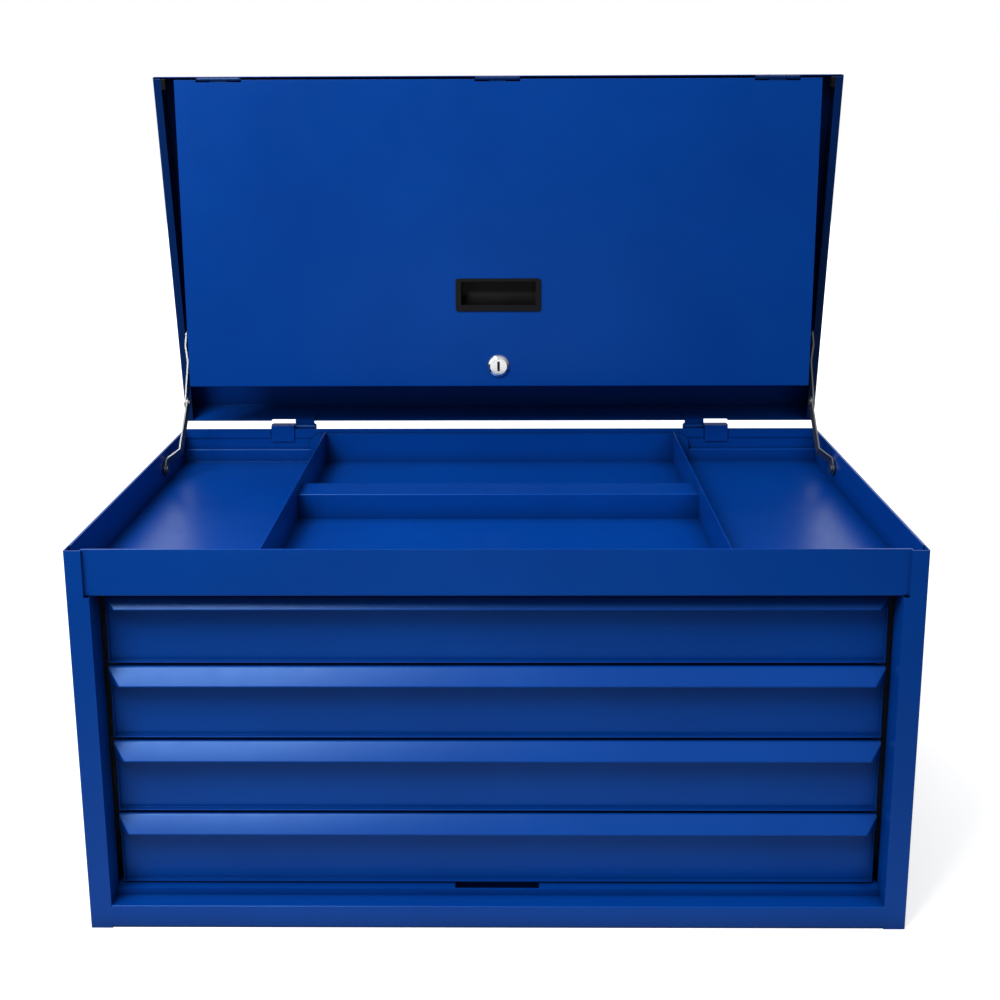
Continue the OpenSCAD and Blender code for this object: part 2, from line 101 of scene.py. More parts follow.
# Weld marks in the foot of each long partition: how many, where the row starts behind the
# partition's front end, and the step between them.
WELDS = 7
WELD_START = 0.020
WELD_PITCH = 0.054
# Rivets that hold the runners, front to back in each drawer.
DRAWER_RIVETS = (-0.120, 0.0, 0.120)

# Black block in the key slot, painted shade for the slot's depth: width, depth and height, and its
# middle behind the plug's face.
SLOT_SHADE_BLOCK = (0.0025, 0.0022, 0.0103)
SLOT_SHADE_BACK = 0.0019

# Faces of the lid's side walls that get painted shade:
# The lid's side walls with their return edges reach this far in from its outer faces. A face
# turns in or to the front when its normal does by more than these shares.
WALL_BAND = 0.009
FACING_IN = 0.9
FACING_FRONT = 0.95

# Names of the darker coats, and their share of the full coat's colour: the thin coat of the cover's
# hinges, and painted shade on the lid's inner walls, for the shadow they lie in.
THIN_COAT = ("Blue powder coat, thin", 0.3)
WALL_SHADE_COAT = ("Blue powder coat, inside", 0.35)
# How far handling marks move the coat's roughness, down and up.
MARKS_LOW = -0.015
MARKS_HIGH = 0.05
# Painted shade in corners, gaps and under parts: how open a corner is where the painted shade is
# darkest, and where the coat has its full colour.
PAINTED_SHADE_DEEP = 0.15
PAINTED_SHADE_OPEN = 0.8
# Second tones, as shares of the first.
DARK_ZINC = 0.8
LIGHT_PLASTIC = 1.7

# Surroundings: heights between which they brighten to the sky, and how far behind the box
# the backdrop starts and is full, both as shares of the view's direction.
SKY_RISE = (-0.1, 0.75)
BACKDROP = (0.3, 0.9)
# Floor: its reach, its two tones, and two fades, each from a near distance to a far one and
# from a value near to a value far.
FLOOR_REACH = 6.0
FLOOR_TONES = ((0.66,) * 3, (0.69,) * 3)
FLOOR_GLOW = (0.4, 2.5, 0.55, 1.0)
FLOOR_BOUNCE = (0.25, 0.9, 0.65, 0.1)
# Each lamp's place, the point it faces, and its width and height. Its power is a property.
LAMPS = {
    "key": ((-0.7, -0.95, 1.7), (-0.05, 0, 0.35), (0.8, 0.8)),
    "window": ((-1.15, -1.0, 0.8), (-0.2, 0, 0.3), (0.7, 0.9)),
    "card": ((-0.03, -1.5, 0.16), (0, 0.14, 0.42), (0.8, 0.3)),
}
# Camera: place, angles in degrees, sensor in millimetres, vertical shift, nearest distance.
CAMERA_PLACE = (0.0124, -1.1006, 0.6872)
CAMERA_YAW = -0.5
CAMERA_PITCH = 11.12
CAMERA_ROLL = -0.216
SENSOR = 36.0
CAMERA_SHIFT = -0.1583
CLIP_START = 0.05


# ---------------------------------------------------------------- properties
class ToolBoxPaint(bpy.types.PropertyGroup):
    """Finishes of the box."""

    blue: bpy.props.FloatVectorProperty(
        name="Paint", description="Colour of the powder coat", subtype="COLOR",
        size=3, min=0, max=1, default=(0.0, 0.040, 0.250))
    blue_deep: bpy.props.FloatVectorProperty(
        name="Paint, deep", description="Darker cast in the powder coat", subtype="COLOR",
        size=3, min=0, max=1, default=(0.0, 0.034, 0.222))
    gloss: bpy.props.FloatProperty(
        name="Paint roughness", description="Roughness of the powder coat",
        min=0.02, max=1, default=0.30)
    # Painted shade in corners and gaps: how far it reaches, and its darkest tone as a share of the
    # coat's colour.
    corner: bpy.props.FloatProperty(
        name="Corner reach", description="How far the thin dark coat reaches out of a corner",
        subtype="DISTANCE", unit="LENGTH", min=0.002, max=0.1, default=0.028)
    painted_shade_tone: bpy.props.FloatProperty(
        name="Corner tone", description="Brightness of the coat deep in a corner",
        min=0, max=1, default=0.25)
    plating: bpy.props.FloatVectorProperty(
        name="Zinc", description="Colour of the zinc plating", subtype="COLOR",
        size=3, min=0, max=1, default=(0.2, 0.205, 0.21))
    plastic: bpy.props.FloatVectorProperty(
        name="Plastic", description="Colour of the moulded plastic", subtype="COLOR",
        size=3, min=0, max=1, default=(0.0016, 0.0016, 0.002))


class ToolBoxFolds(bpy.types.PropertyGroup):
    """Sizes of folded and cut sheet edges."""

    fold: bpy.props.FloatProperty(
        name="Fold radius", description="Outside radius where a sheet is folded",
        subtype="DISTANCE", unit="LENGTH", min=0.0002, max=0.003, default=0.0011)
    cut: bpy.props.FloatProperty(
        name="Cut edge", description="Rounding of a cut sheet edge",
        subtype="DISTANCE", unit="LENGTH", min=0.00005, max=0.0005, default=0.0002)
    rivet: bpy.props.FloatProperty(
        name="Rivet radius", description="Radius of a rivet head",
        subtype="DISTANCE", unit="LENGTH", min=0.001, max=0.004, default=0.003)
    rivet_rise: bpy.props.FloatProperty(
        name="Rivet height", description="How far a rivet head stands up",
        subtype="DISTANCE", unit="LENGTH", min=0.0003, max=0.0015, default=0.001)
    weld: bpy.props.FloatProperty(
        name="Weld spot radius", description="Radius of a spot weld's mark",
        subtype="DISTANCE", unit="LENGTH", min=0.001, max=0.004, default=0.0024)
    weld_rise: bpy.props.FloatProperty(
        name="Weld spot height", description="How far a weld mark stands up",
        subtype="DISTANCE", unit="LENGTH", min=0.0001, max=0.0006, default=0.00025)


class ToolBoxStage(bpy.types.PropertyGroup):
    """Light and camera."""

    sky: bpy.props.FloatProperty(
        name="Sky", description="Strength of the surroundings above the box",
        min=0, max=5, default=0.76)
    front: bpy.props.FloatProperty(
        name="Horizon", description="Strength of the surroundings level with the box",
        min=0, max=5, default=0.1)
    back: bpy.props.FloatProperty(
        name="Backdrop", description="Extra strength of the surroundings behind the box",
        min=0, max=5, default=0.8)
    key: bpy.props.FloatProperty(
        name="Key light", description="Power of the large front light, in watts",
        min=0, max=500, default=38)
    window: bpy.props.FloatProperty(
        name="Side light", description="Power of the light on the left, in watts",
        min=0, max=200, default=2)
    card: bpy.props.FloatProperty(
        name="Front card", description="Power of the low card before the box, in watts",
        min=0, max=50, default=0.8)
    lens: bpy.props.FloatProperty(
        name="Lens", description="Focal length", subtype="DISTANCE_CAMERA",
        min=10, max=200, default=43.77)


# ---------------------------------------------------------------- node helpers
def group_tree(name, ins, outs):
    """An empty shader group with its sockets: the tree, its input node and its output node."""
    tree = bpy.data.node_groups.new(name, "ShaderNodeTree")
    for label, kind, value in ins:
        socket = tree.interface.new_socket(label, in_out="INPUT", socket_type=kind)
        socket.default_value = value
    for label, kind in outs:
        tree.interface.new_socket(label, in_out="OUTPUT", socket_type=kind)
    return tree, tree.nodes.new("NodeGroupInput"), tree.nodes.new("NodeGroupOutput")


def node(tree, kind, **values):
    """A new node with its settings."""
    made = tree.nodes.new(kind)
    for key, value in values.items():
        setattr(made, key, value)
    return made


def fill(made, values):
    """Sets a node's unlinked inputs."""
    for label, value in values.items():
        made.inputs[label].default_value = value


def feed(tree, value, socket):
    """Gives a socket a number, or a link where value is another node's output."""
    if isinstance(value, (int, float)):
        socket.default_value = value
    else:
        tree.links.new(value, socket)


def noise(tree, vector, scale, detail=2.0, rough=0.5):
    """A mask of noise; its scale is a number or another node's output."""
    made = node(tree, "ShaderNodeTexNoise")
    fill(made, {"Detail": detail, "Roughness": rough})
    feed(tree, scale, made.inputs["Scale"])
    tree.links.new(vector, made.inputs["Vector"])
    return made.outputs["Fac"]


def spread(tree, value, low, high, to_low, to_high):
    """Maps value from low..high to to_low..to_high, clamped."""
    ramp = node(tree, "ShaderNodeMapRange")
    tree.links.new(value, ramp.inputs["Value"])
    for label, end in (("From Min", low), ("From Max", high),
                       ("To Min", to_low), ("To Max", to_high)):
        feed(tree, end, ramp.inputs[label])
    return ramp.outputs["Result"]


def sheet_finish_group():
    """Slow tint drift, faint handling marks and the fine waviness of a coat."""
    name = "Coat on sheet"
    if name in bpy.data.node_groups:
        return bpy.data.node_groups[name]
    tree, gin, gout = group_tree(name, [
        ("Position", "NodeSocketVector", (0, 0, 0)),
        ("Waviness scale", "NodeSocketFloat", 420.0),
        ("Peel", "NodeSocketFloat", 0.012),
        ("Roughness low", "NodeSocketFloat", 0.2),
        ("Roughness high", "NodeSocketFloat", 0.3),
    ], [("Tint", "NodeSocketFloat"), ("Roughness", "NodeSocketFloat"),
        ("Height", "NodeSocketFloat")])
    position = gin.outputs["Position"]
    drift = noise(tree, position, scale=7.0, detail=3.0)
    tree.links.new(spread(tree, drift, 0.3, 0.7, 0.0, 1.0), gout.inputs["Tint"])
    marks = noise(tree, position, scale=46.0, detail=4.0, rough=0.6)
    tree.links.new(spread(tree, marks, 0.3, 0.75, gin.outputs["Roughness low"],
                          gin.outputs["Roughness high"]), gout.inputs["Roughness"])
    fine = noise(tree, position, gin.outputs["Waviness scale"], detail=1.0)
    wide = noise(tree, position, scale=11.0, detail=1.0)
    height = node(tree, "ShaderNodeMath", operation="MULTIPLY_ADD")
    tree.links.new(fine, height.inputs[0])
    tree.links.new(gin.outputs["Peel"], height.inputs[1])
    tree.links.new(wide, height.inputs[2])
    tree.links.new(height.outputs[0], gout.inputs["Height"])
    return tree


def streak_group():
    """Rolling streaks and cloudy patches of bare or plated metal."""
    name = "Rolled metal"
    if name in bpy.data.node_groups:
        return bpy.data.node_groups[name]
    tree, gin, gout = group_tree(name, [
        ("Position", "NodeSocketVector", (0, 0, 0)),
        ("Roughness low", "NodeSocketFloat", 0.4),
        ("Roughness high", "NodeSocketFloat", 0.56),
    ], [("Tint", "NodeSocketFloat"), ("Roughness", "NodeSocketFloat"),
        ("Height", "NodeSocketFloat")])
    position = gin.outputs["Position"]
    stretch = node(tree, "ShaderNodeMapping")
    fill(stretch, {"Scale": (1.0, 1.0, 14.0)})
    tree.links.new(position, stretch.inputs["Vector"])
    lines = noise(tree, stretch.outputs["Vector"], scale=130.0, detail=3.0, rough=0.6)
    cloud = noise(tree, position, scale=60.0, detail=4.0, rough=0.6)
    tree.links.new(cloud, gout.inputs["Tint"])
    tree.links.new(spread(tree, lines, 0.3, 0.7, gin.outputs["Roughness low"],
                          gin.outputs["Roughness high"]), gout.inputs["Roughness"])
    tree.links.new(lines, gout.inputs["Height"])
    return tree


def new_material(name):
    """A material with its tree, its shader and the piece's own position."""
    material = bpy.data.materials.new(name)
    material.use_nodes = True
    tree = material.node_tree
    tree.nodes.clear()
    out = node(tree, "ShaderNodeOutputMaterial")
    shader = node(tree, "ShaderNodeBsdfPrincipled")
    tree.links.new(shader.outputs[0], out.inputs["Surface"])
    place = node(tree, "ShaderNodeTexCoord")
    return material, tree, shader, place.outputs["Object"]


def surface(tree, shader, position, group, values):
    """Places a finish group, links its roughness to the shader and returns its node."""
    finish = node(tree, "ShaderNodeGroup", node_tree=group)
    tree.links.new(position, finish.inputs["Position"])
    fill(finish, values)
    tree.links.new(finish.outputs["Roughness"], shader.inputs["Roughness"])
    return finish


def two_tone(tree, factor, first, second):
    """A colour between two, by a mask."""
    mix = node(tree, "ShaderNodeMix", data_type="RGBA")
    tree.links.new(factor, mix.inputs["Factor"])
    fill(mix, {"A": (*first, 1), "B": (*second, 1)})
    return mix.outputs["Result"]


def bump(tree, shader, height, strength, distance):
    """Gives the shader a fine relief from a height."""
    relief = node(tree, "ShaderNodeBump")
    fill(relief, {"Strength": strength, "Distance": distance})
    tree.links.new(height, relief.inputs["Height"])
    tree.links.new(relief.outputs["Normal"], shader.inputs["Normal"])


# ---------------------------------------------------------------- finishes
def powder_coat(name="Blue powder coat", share=1.0):
    """The gloss coat, with painted shade darkening its colour in corners and gaps; a share below one
    gives the thin, dark coat of the cover's hinge leaves, and painted shade on the lid's inner walls.
    """
    if name in bpy.data.materials:
        return bpy.data.materials[name]
    paint = bpy.context.scene.toolbox_paint
    material, tree, shader, position = new_material(name)
    finish = surface(tree, shader, position, sheet_finish_group(), {
        "Roughness low": paint.gloss + MARKS_LOW, "Roughness high": paint.gloss + MARKS_HIGH})
    deep, blue = ([c * share for c in tone] for tone in (paint.blue_deep, paint.blue))
    coat = two_tone(tree, finish.outputs["Tint"], deep, blue)
    # Painted shade: an ambient occlusion mask darkens the coat's colour in corners, gaps and under
    # parts, and the multiply mix below puts it into the colour.
    corner = node(tree, "ShaderNodeAmbientOcclusion", samples=8)
    fill(corner, {"Distance": paint.corner})
    shade = spread(tree, corner.outputs["AO"], PAINTED_SHADE_DEEP, PAINTED_SHADE_OPEN, paint.painted_shade_tone, 1.0)
    thin = node(tree, "ShaderNodeMix", data_type="RGBA", blend_type="MULTIPLY")
    fill(thin, {"Factor": 1.0})
    tree.links.new(coat, thin.inputs["A"])
    tree.links.new(shade, thin.inputs["B"])
    tree.links.new(thin.outputs["Result"], shader.inputs["Base Color"])
    fill(shader, {"Specular IOR Level": 0.35, "Specular Tint": (0.3, 0.55, 1.0, 1.0)})
    bump(tree, shader, finish.outputs["Height"], strength=0.35, distance=0.001)
    return material


def zinc_plate():
    """Dull zinc on stays, slides, rivets and pins."""
    name = "Zinc plated steel"
    if name in bpy.data.materials:
        return bpy.data.materials[name]
    paint = bpy.context.scene.toolbox_paint
    material, tree, shader, position = new_material(name)
    finish = surface(tree, shader, position, streak_group(), {})
    dark = [c * DARK_ZINC for c in paint.plating]
    tree.links.new(two_tone(tree, finish.outputs["Tint"], dark, paint.plating),
                   shader.inputs["Base Color"])
    fill(shader, {"Metallic": 1.0})
    bump(tree, shader, finish.outputs["Height"], strength=0.15, distance=0.0001)
    return material


def polished_chrome():
    """Bright chrome of the lock."""
    name = "Polished chrome"
    if name in bpy.data.materials:
        return bpy.data.materials[name]
    material, tree, shader, position = new_material(name)
    finish = surface(tree, shader, position, streak_group(), {
        "Roughness low": 0.06, "Roughness high": 0.16})
    tree.links.new(two_tone(tree, finish.outputs["Tint"], (0.72, 0.73, 0.75),
                            (0.82, 0.83, 0.84)), shader.inputs["Base Color"])
    fill(shader, {"Metallic": 1.0})
    bump(tree, shader, finish.outputs["Height"], strength=0.04, distance=0.0001)
    return material


def moulded_plastic():
    """Matt black plastic with a fine grain."""
    name = "Black moulded plastic"
    if name in bpy.data.materials:
        return bpy.data.materials[name]
    paint = bpy.context.scene.toolbox_paint
    material, tree, shader, position = new_material(name)
    finish = surface(tree, shader, position, sheet_finish_group(), {
        "Waviness scale": 1500.0, "Peel": 0.08, "Roughness low": 0.38, "Roughness high": 0.5})
    light = [c * LIGHT_PLASTIC for c in paint.plastic]
    tree.links.new(two_tone(tree, finish.outputs["Tint"], paint.plastic, light),
                   shader.inputs["Base Color"])
    fill(shader, {"Specular IOR Level": 0.25})
    bump(tree, shader, finish.outputs["Height"], strength=0.3, distance=0.0005)
    return material


# ---------------------------------------------------------------- mesh helpers
def new_object(name, data):
    """An object at the origin, linked to the scene."""
    obj = bpy.data.objects.new(name, data)
    bpy.context.scene.collection.objects.link(obj)
    return obj


def node_bounds(node_name):
    """The lowest and the highest corner of a node."""
    obj = NODES[node_name]
    points = [obj.matrix_world @ v.co for v in obj.data.vertices]
    return (Vector([min(p[k] for p in points) for k in range(3)]),
            Vector([max(p[k] for p in points) for k in range(3)]))


def body_of(node_name):
    """The name of the body that carries a node."""
    return NODES[node_name]["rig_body"]


def record_slot(node_name):
    """The material slot that the part's record gives a node."""
    for subpart in frame["record"]["subparts"]:
        if subpart["node"] == node_name:
            return subpart["material_slot"]
    raise ValueError(node_name)


def clean_copy(node_name):
    """The node's shape as merged, flat-sided faces."""
    bm = bmesh.new()
    bm.from_mesh(NODES[node_name].data)
    bmesh.ops.remove_doubles(bm, verts=bm.verts, dist=MERGE)
    bmesh.ops.dissolve_limit(bm, angle_limit=FLAT_TURN, verts=bm.verts, edges=bm.edges)
    bmesh.ops.connect_verts_concave(bm, faces=bm.faces)
    return bm


def face_width(face, edge):
    """How far a face reaches from one of its edges."""
    a, b = edge.verts[0].co, edge.verts[1].co
    along = (b - a).normalized()
    return max(((v.co - a) - along * (v.co - a).dot(along)).length for v in face.verts)


def is_fold(edge):
    """Whether a sheet is folded along an edge, and the edge is on the fold's outside."""
    if len(edge.link_faces) != 2 or not edge.is_convex:
        return False
    if edge.calc_face_angle(0) < FOLD_TURN or edge.calc_length() < FOLD_LENGTH:
        return False
    return all(face_width(f, edge) > FOLD_FLANK for f in edge.link_faces)


def folded_copy(node_name, body, material, fold, cut):
    """A copy of a sheet node whose outside folds are rounded and cut edges eased."""
    bm = clean_copy(node_name)
    folds = [e for e in bm.edges if is_fold(e)]
    if folds:
        bmesh.ops.bevel(bm, geom=folds, offset=fold, offset_type="OFFSET", segments=4,
                        profile=0.5, affect="EDGES", clamp_overlap=True)
    curved = {v for e in bm.edges if len(e.link_faces) == 2
              and FACET_TURN[0] < e.calc_face_angle(0) < FACET_TURN[1]
              for f in e.link_faces for v in f.verts}
    eased = bm.edges.layers.float.new("bevel_weight_edge")
    for e in bm.edges:
        if (len(e.link_faces) == 2 and e.calc_face_angle(0) > CUT_TURN
                and not curved.intersection(e.verts)):
            e[eased] = 1.0
    mesh = bpy.data.meshes.new("dressed_" + node_name)
    bm.normal_update()
    bm.to_mesh(mesh)
    bm.free()
    obj = new_object("dressed_" + node_name, mesh)
    mesh.shade_smooth()
    ease = obj.modifiers.new("Cut edges", "BEVEL")
    ease.width = cut
    ease.segments = 2
    ease.limit_method = "WEIGHT"
    ease.use_clamp_overlap = True
    flat = obj.modifiers.new("Flat faces", "WEIGHTED_NORMAL")
    flat.mode = "FACE_AREA"
    flat.weight = 100
    flat.keep_sharp = True
    mesh.materials.append(material)
    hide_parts(node_name)
    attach(obj, body)
    return obj


def finish_node(node_name, material):
    """Gives a CAD node its finish."""
    obj = NODES[node_name]
    if not obj.material_slots:
        obj.data.materials.append(material)
    for held in obj.material_slots:
        held.material = material


def dress(names, material):
    """Puts folded copies in the place of sheet nodes, and returns them."""
    folds = bpy.context.scene.toolbox_folds
    copies = []
    for name in names:
        copies.append(folded_copy(name, body_of(name), material, folds.fold, folds.cut))
        finish_node(name, material)
    return copies


def paint_lid_wall_shade(mesh):
    """Gives the inner faces and the return edges of the lid's side walls a darker coat: painted shade
    for the shadow they lie in.
    """
    mesh.materials.append(powder_coat(*WALL_SHADE_COAT))
    reach = max(abs(v.co.x) for v in mesh.vertices)
    for face in mesh.polygons:
        place = abs(face.center.x)
        inward = face.normal.x * face.center.x < -FACING_IN * place
        if place > reach - WALL_BAND and (inward or face.normal.y < -FACING_FRONT):
            face.material_index = 1


def key_slot_shutter():
    """Makes a black block at the bottom of the lock's key slot: painted shade for the slot's depth."""
    low, high = node_bounds("lock_plug")
    middle = (low + high) / 2
    bm = bmesh.new()
    bmesh.ops.create_cube(bm, size=1.0)
    bmesh.ops.scale(bm, verts=bm.verts, vec=SLOT_SHADE_BLOCK)
    bmesh.ops.translate(bm, verts=bm.verts, vec=(middle.x, low.y + SLOT_SHADE_BACK, middle.z))
    mesh = bpy.data.meshes.new("key_slot_shutter")
    bm.to_mesh(mesh)
    bm.free()
    mesh.materials.append(moulded_plastic())
    obj = new_object("key_slot_shutter", mesh)
    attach(obj, body_of("lock_plug"))


# ---------------------------------------------------------------- rivets and weld marks
def heads_tree():
    """A low dome on every point, turned to the point's facing."""
    name = "Domed heads"
    if name in bpy.data.node_groups:
        return bpy.data.node_groups[name]
    tree = bpy.data.node_groups.new(name, "GeometryNodeTree")
    for label, kind, value in (("Geometry", "NodeSocketGeometry", None),
                               ("Head radius", "NodeSocketFloat", 0.003),
                               ("Head height", "NodeSocketFloat", 0.001),
                               ("Finish", "NodeSocketMaterial", None)):
        socket = tree.interface.new_socket(label, in_out="INPUT", socket_type=kind)
        if value is not None:
            socket.default_value = value
    tree.interface.new_socket("Geometry", in_out="OUTPUT", socket_type="NodeSocketGeometry")
    gin = node(tree, "NodeGroupInput")
    gout = node(tree, "NodeGroupOutput")
    ball = node(tree, "GeometryNodeMeshUVSphere")
    fill(ball, {"Segments": 20, "Rings": 10, "Radius": 1.0})
    size = node(tree, "ShaderNodeCombineXYZ")
    tree.links.new(gin.outputs["Head radius"], size.inputs["X"])
    tree.links.new(gin.outputs["Head radius"], size.inputs["Y"])
    tree.links.new(gin.outputs["Head height"], size.inputs["Z"])
    dome = node(tree, "GeometryNodeTransform")
    tree.links.new(ball.outputs["Mesh"], dome.inputs["Geometry"])
    tree.links.new(size.outputs[0], dome.inputs["Scale"])
    facing = node(tree, "GeometryNodeInputNamedAttribute", data_type="FLOAT_VECTOR")
    fill(facing, {"Name": "facing"})
    turn = node(tree, "FunctionNodeAlignRotationToVector", axis="Z")
    tree.links.new(facing.outputs["Attribute"], turn.inputs["Vector"])
    put = node(tree, "GeometryNodeInstanceOnPoints")
    tree.links.new(gin.outputs["Geometry"], put.inputs["Points"])
    tree.links.new(dome.outputs["Geometry"], put.inputs["Instance"])
    tree.links.new(turn.outputs["Rotation"], put.inputs["Rotation"])
    smooth = node(tree, "GeometryNodeSetShadeSmooth")
    real = node(tree, "GeometryNodeRealizeInstances")
    coat = node(tree, "GeometryNodeSetMaterial")
    tree.links.new(put.outputs["Instances"], real.inputs["Geometry"])
    tree.links.new(real.outputs["Geometry"], smooth.inputs["Geometry"])
    tree.links.new(smooth.outputs["Geometry"], coat.inputs["Geometry"])
    tree.links.new(gin.outputs["Finish"], coat.inputs["Material"])
    tree.links.new(coat.outputs["Geometry"], gout.inputs["Geometry"])
    return tree


def heads(name, spots, body, slot, material, radius, height):
    """Makes the domed heads of one body; spots are pairs of a place and the way it faces."""
    mesh = bpy.data.meshes.new(name + "_spots")
    mesh.from_pydata([place for place, _ in spots], [], [])
    facing = mesh.attributes.new("facing", "FLOAT_VECTOR", "POINT")
    for item, (_, way) in zip(facing.data, spots):
        item.vector = way
    seed = new_object(name + "_spots", mesh)
    tree = heads_tree()
    mod = seed.modifiers.new("Heads", "NODES")
    mod.node_group = tree
    values = {"Head radius": radius, "Head height": height, "Finish": material}
    for item in tree.interface.items_tree:
        if item.in_out == "INPUT" and item.name in values:
            mod[item.identifier] = values[item.name]
    bpy.context.view_layer.update()
    graph = bpy.context.evaluated_depsgraph_get()
    made = bpy.data.meshes.new_from_object(seed.evaluated_get(graph), depsgraph=graph)
    seed.modifiers.remove(mod)
    bpy.data.objects.remove(seed)
    made.name = name
    obj = new_object(name, made)
    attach(obj, body)


def sides(spots):
    """Adds each spot's mirror image across the middle plane."""
    return [((k * x, y, z), (k * u, v, w)) for k in (-1, 1)
            for (x, y, z), (u, v, w) in spots]


def bracket_spots():
    """Four rivets on the strap of each handle bracket."""
    low, high = node_bounds("handle_bracket_right")
    middle = (low.z + high.z) / 2
    return sides([((low.x + STRAP, y, z), (1, 0, 0))
                  for y in (low.y + BRACKET_MARGIN, high.y - BRACKET_MARGIN)
                  for z in (middle - BRACKET_ROWS / 2, middle + BRACKET_ROWS / 2)])


def case_hinge_spots():
    """Rivets behind the back wall that hold the case's hinge leaves."""
    low, high = node_bounds("case_hinge_leaves")
    back = node_bounds("back_wall")[1].y
    return sides([((high.x - margin, back, low.z + CASE_LEAF_RISE), (0, 1, 0))
                  for margin in CASE_LEAF_RIVETS])


def lid_hinge_spots():
    """Rivets behind the lid that hold its hinge leaves; the lid rests open and its joint closes it."""
    hinge = next(j for j in frame["joints"] if j["name"] == "lid_hinge")
    closing = math.radians(hinge["range_deg"][0])
    opening = Matrix.Rotation(-closing, 3, Vector(hinge["axis"]))
    pin = Vector(hinge["pos_m"])
    return sides([(tuple(opening @ Vector((x, *LID_RIVET_FROM_PIN)) + pin),
                   tuple(opening @ Vector((0, 1, 0)))) for x in LID_LEAF_RIVETS])


def weld_spots():
    """A row of marks along the foot of each long partition of the till."""
    low, high = node_bounds("till_partition_right")
    across = (low.x + SHEET + high.x) / 2
    return sides([((across, low.y + WELD_START + WELD_PITCH * k, low.z + SHEET), (0, 0, 1))
                  for k in range(WELDS)])


def drawer_spots(number):
    """Rivets inside a tray's side walls, level with the runners."""
    inside = node_bounds(f"drawer_{number}_tray")[1].x - SHEET
    low, high = node_bounds(f"drawer_{number}_runners")
    return sides([((inside, y, (low.z + high.z) / 2), (-1, 0, 0)) for y in DRAWER_RIVETS])


# ---------------------------------------------------------------- stage
def pale_floor():
    """Near white to the camera; to other rays grey by the box and dark further out."""
    bm = bmesh.new()
    bmesh.ops.create_grid(bm, x_segments=1, y_segments=1, size=FLOOR_REACH)
    mesh = bpy.data.meshes.new("floor")
    bm.to_mesh(mesh)
    bm.free()
    floor = new_object("floor", mesh)
    material, tree, shader, position = new_material("Pale floor")
    pale = two_tone(tree, noise(tree, position, scale=3.0), *FLOOR_TONES)
    ray = node(tree, "ShaderNodeLightPath")
    distance = node(tree, "ShaderNodeVectorMath", operation="LENGTH")
    tree.links.new(position, distance.inputs[0])
    away = distance.outputs["Value"]
    tone = node(tree, "ShaderNodeMix", data_type="RGBA")
    tree.links.new(ray.outputs["Is Camera Ray"], tone.inputs["Factor"])
    tree.links.new(spread(tree, away, *FLOOR_BOUNCE), tone.inputs["A"])
    tree.links.new(pale, tone.inputs["B"])
    tree.links.new(tone.outputs["Result"], shader.inputs["Base Color"])
    glow = node(tree, "ShaderNodeMath", operation="MULTIPLY")
    tree.links.new(spread(tree, away, *FLOOR_GLOW), glow.inputs[0])
    tree.links.new(ray.outputs["Is Camera Ray"], glow.inputs[1])
    tree.links.new(glow.outputs[0], shader.inputs["Emission Strength"])
    fill(shader, {"Roughness": 0.9, "Specular IOR Level": 0.0,
                  "Emission Color": (1, 1, 1, 1)})
    mesh.materials.append(material)


def white_studio(sky, front, back):
    """White to the camera; to the rest bright above and behind, dim in front."""
    world = bpy.data.worlds.new("White studio")
    bpy.context.scene.world = world
    world.use_nodes = True
    tree = world.node_tree
    place = node(tree, "ShaderNodeTexCoord")
    split = node(tree, "ShaderNodeSeparateXYZ")
    tree.links.new(place.outputs["Generated"], split.inputs[0])
    above = spread(tree, split.outputs["Z"], *SKY_RISE, front, sky)
    behind = spread(tree, split.outputs["Y"], *BACKDROP, 0.0, back)
    around = node(tree, "ShaderNodeMath", operation="ADD")
    tree.links.new(above, around.inputs[0])
    tree.links.new(behind, around.inputs[1])
    ray = node(tree, "ShaderNodeLightPath")
    mix = node(tree, "ShaderNodeMix", data_type="FLOAT")
    tree.links.new(ray.outputs["Is Camera Ray"], mix.inputs["Factor"])
    tree.links.new(around.outputs[0], mix.inputs["A"])
    fill(mix, {"B": 1.0})
    shine = tree.nodes["Background"]
    fill(shine, {"Color": (1, 1, 1, 1)})
    tree.links.new(mix.outputs["Result"], shine.inputs["Strength"])


def lamp(name, place, aim, size, power):
    """A soft rectangular lamp."""
    data = bpy.data.lights.new(name, "AREA")
    data.shape = "RECTANGLE"
    data.size, data.size_y = size
    data.energy = power
    obj = new_object(name, data)
    obj.location = place
    obj.rotation_mode = "QUATERNION"
    obj.rotation_quaternion = (Vector(aim) - Vector(place)).to_track_quat("-Z", "Y")


def camera(lens):
    """The camera, turned sideways by its yaw, down by its pitch and about its view by its roll."""
    data = bpy.data.cameras.new("camera")
    data.lens = lens
    data.sensor_width = SENSOR
    data.shift_y = CAMERA_SHIFT
    data.dof.use_dof = False
    data.clip_start = CLIP_START
    obj = new_object("camera", data)
    yaw, pitch, roll = (math.radians(a) for a in (CAMERA_YAW, CAMERA_PITCH, CAMERA_ROLL))
    ahead = Vector((math.sin(yaw) * math.cos(pitch), math.cos(yaw) * math.cos(pitch),
                    -math.sin(pitch)))
    level = ahead.cross(Vector((0, 0, 1))).normalized()
    plumb = level.cross(ahead)
    right = level * math.cos(roll) + plumb * math.sin(roll)
    up = plumb * math.cos(roll) - level * math.sin(roll)
    obj.matrix_world = Matrix.Translation(CAMERA_PLACE) @ Matrix(
        (right, up, -ahead)).transposed().to_4x4()
    bpy.context.scene.camera = obj


# ---------------------------------------------------------------- operators
class TOOLBOX_OT_case(bpy.types.Operator):
    """Case sheets: sides, back, pan and rails."""

    bl_idname = "toolbox.case"
    bl_label = "Case sheets"

    def execute(self, context):
        dress(["side_left", "side_right", "back_wall", "base_pan", "bottom_rail", "top_rail"],
              powder_coat())
        return {"FINISHED"}


